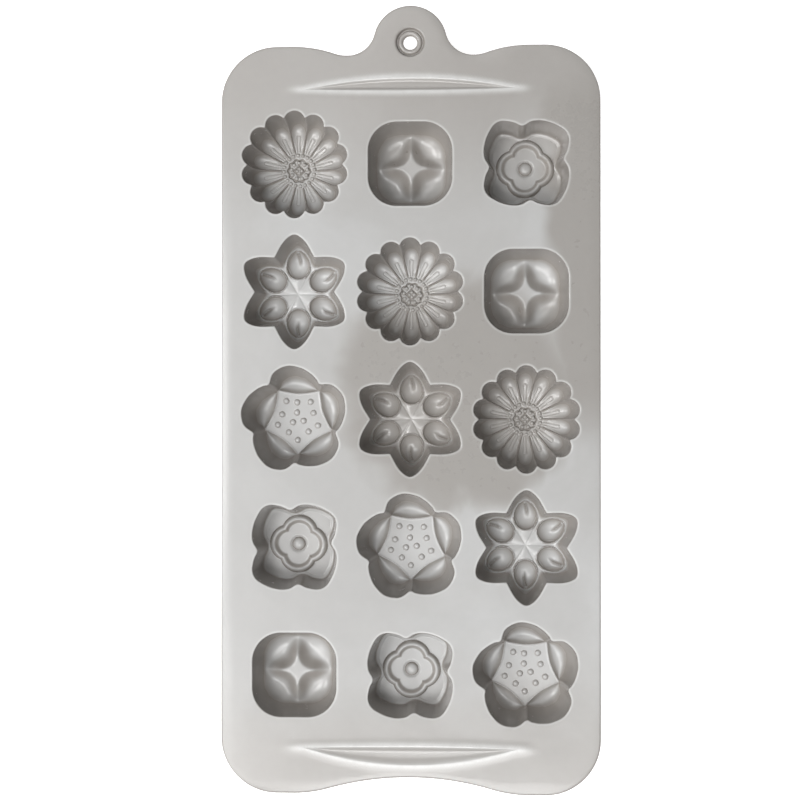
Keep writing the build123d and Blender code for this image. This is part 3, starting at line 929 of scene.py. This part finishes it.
# painted highlight: pale colour where the per-vertex highlight value is set, on rims and grip edges
att = nodes.new("ShaderNodeAttribute")
att.attribute_name = "edge_highlight"
col = mix("MIX", maths("MULTIPLY", att.outputs["Fac"], maths("ADD", maths("MULTIPLY", fine, 0.5), 0.60), True), col, (0.60, 0.60, 0.59))
links.new(col, bsdf.inputs["Base Color"])
rough = maths("ADD", maths("MULTIPLY", painted_top_light, 0.10), 0.27)
rough = maths("ADD", rough, maths("MULTIPLY", maths("SUBTRACT", fine, 0.5), 0.02), True)
links.new(rough, bsdf.inputs["Roughness"])
bsdf.inputs["IOR"].default_value = 1.46
bsdf.inputs["Coat Weight"].default_value = 0.35
bsdf.inputs["Coat Roughness"].default_value = 0.16
bsdf.inputs["Sheen Weight"].default_value = 0.03
bsdf.inputs["Sheen Roughness"].default_value = 0.5
b1 = nodes.new("ShaderNodeBump")
b1.inputs["Strength"].default_value = 0.015
b1.inputs["Distance"].default_value = 0.00025
links.new(fine, b1.inputs["Height"])
b2 = nodes.new("ShaderNodeBump")
b2.inputs["Strength"].default_value = 0.25
b2.inputs["Distance"].default_value = 0.0010
links.new(noise(70.0, 2.0, 0.4, 0.3, (0.1, 0.9, 0.3)), b2.inputs["Height"])
links.new(b1.outputs["Normal"], b2.inputs["Normal"])
links.new(b2.outputs["Normal"], bsdf.inputs["Normal"])

for ob in pieces:
    ob.data.materials.clear()
    ob.data.materials.append(mat)

# ------------------------------------------------------------------ floor and light
fm = bpy.data.materials.new("pale_floor")
fm.use_nodes = True
fb = fm.node_tree.nodes["Principled BSDF"]
fb.inputs["Base Color"].default_value = (0.93, 0.93, 0.93, 1)
fb.inputs["Roughness"].default_value = 0.75
fb.inputs["Emission Color"].default_value = (1, 1, 1, 1)
fb.inputs["Emission Strength"].default_value = 0.72
me = bpy.data.meshes.new("floor")
me.from_pydata([(-3, -3, 0), (3, -3, 0), (3, 3, 0), (-3, 3, 0)], [], [(0, 1, 2, 3)])
floor = bpy.data.objects.new("floor", me)
floor.location = (0, 0, -0.0002)
scene.collection.objects.link(floor)
me.materials.append(fm)

# a pale wall far behind the floor, seen only by the camera, so low views have no dark horizon
wm = bpy.data.meshes.new("backdrop")
wa = np.arange(96) * TAU / 96
wm.from_pydata([(2.9 * math.cos(a), 2.9 * math.sin(a), z) for z in (-0.01, 3.5) for a in wa], [],
               [(i, (i + 1) % 96, 96 + (i + 1) % 96, 96 + i) for i in range(96)])
wall = bpy.data.objects.new("backdrop", wm)
scene.collection.objects.link(wall)
bm_ = bpy.data.materials.new("pale_backdrop")
bm_.use_nodes = True
wb = bm_.node_tree.nodes["Principled BSDF"]
wb.inputs["Base Color"].default_value = (0, 0, 0, 1)
wb.inputs["Specular IOR Level"].default_value = 0.0
wb.inputs["Roughness"].default_value = 1.0
wb.inputs["Emission Color"].default_value = (1, 1, 1, 1)
wb.inputs["Emission Strength"].default_value = 0.90
wm.materials.append(bm_)
for ray in ("visible_diffuse", "visible_glossy", "visible_transmission", "visible_volume_scatter", "visible_shadow"):
    setattr(wall, ray, False)

world = bpy.data.worlds.new("studio")
scene.world = world
world.use_nodes = True
bg = world.node_tree.nodes["Background"]
bg.inputs["Color"].default_value = (1.0, 0.995, 0.985, 1)
bg.inputs["Strength"].default_value = 0.015


def softbox(name, azimuth, elevation, power, size=0.52, far=1.3):
    """Round soft box aimed at the tray from a compass direction (0 = +X, 90 = +Y) and a height in degrees."""
    a, e = math.radians(azimuth), math.radians(elevation)
    ld = bpy.data.lights.new(name, "AREA")
    ld.shape = "DISK"
    ld.size = size
    ld.energy = power
    lo = bpy.data.objects.new(name, ld)
    lo.location = Vector((math.cos(a) * math.cos(e), math.sin(a) * math.cos(e), math.sin(e))) * far
    scene.collection.objects.link(lo)
    look(lo, Vector((0, 0, 0)))
    return lo


for name, az, el, w, sz in (("left_high", 180, 66, 4.9, 0.34), ("front_left_high", 225, 64, 3.6, 0.40), ("front_high", 270, 63, 5.6, 0.46),
                            ("right_front_high", 315, 66, 2.2, 0.52), ("back_high", 112, 66, 1.7, 0.52), ("left_mid", 180, 42, 4.4, 0.40),
                            ("front_left_mid", 225, 42, 2.2, 0.40), ("back_mid", 90, 42, 1.3, 0.52), ("front_left_low", 225, 18, 1.5, 0.52)):
    softbox(name, az, el, w, sz)

scene.view_settings.view_transform = "Standard"
scene.view_settings.look = "None"
scene.view_settings.exposure = 0.0
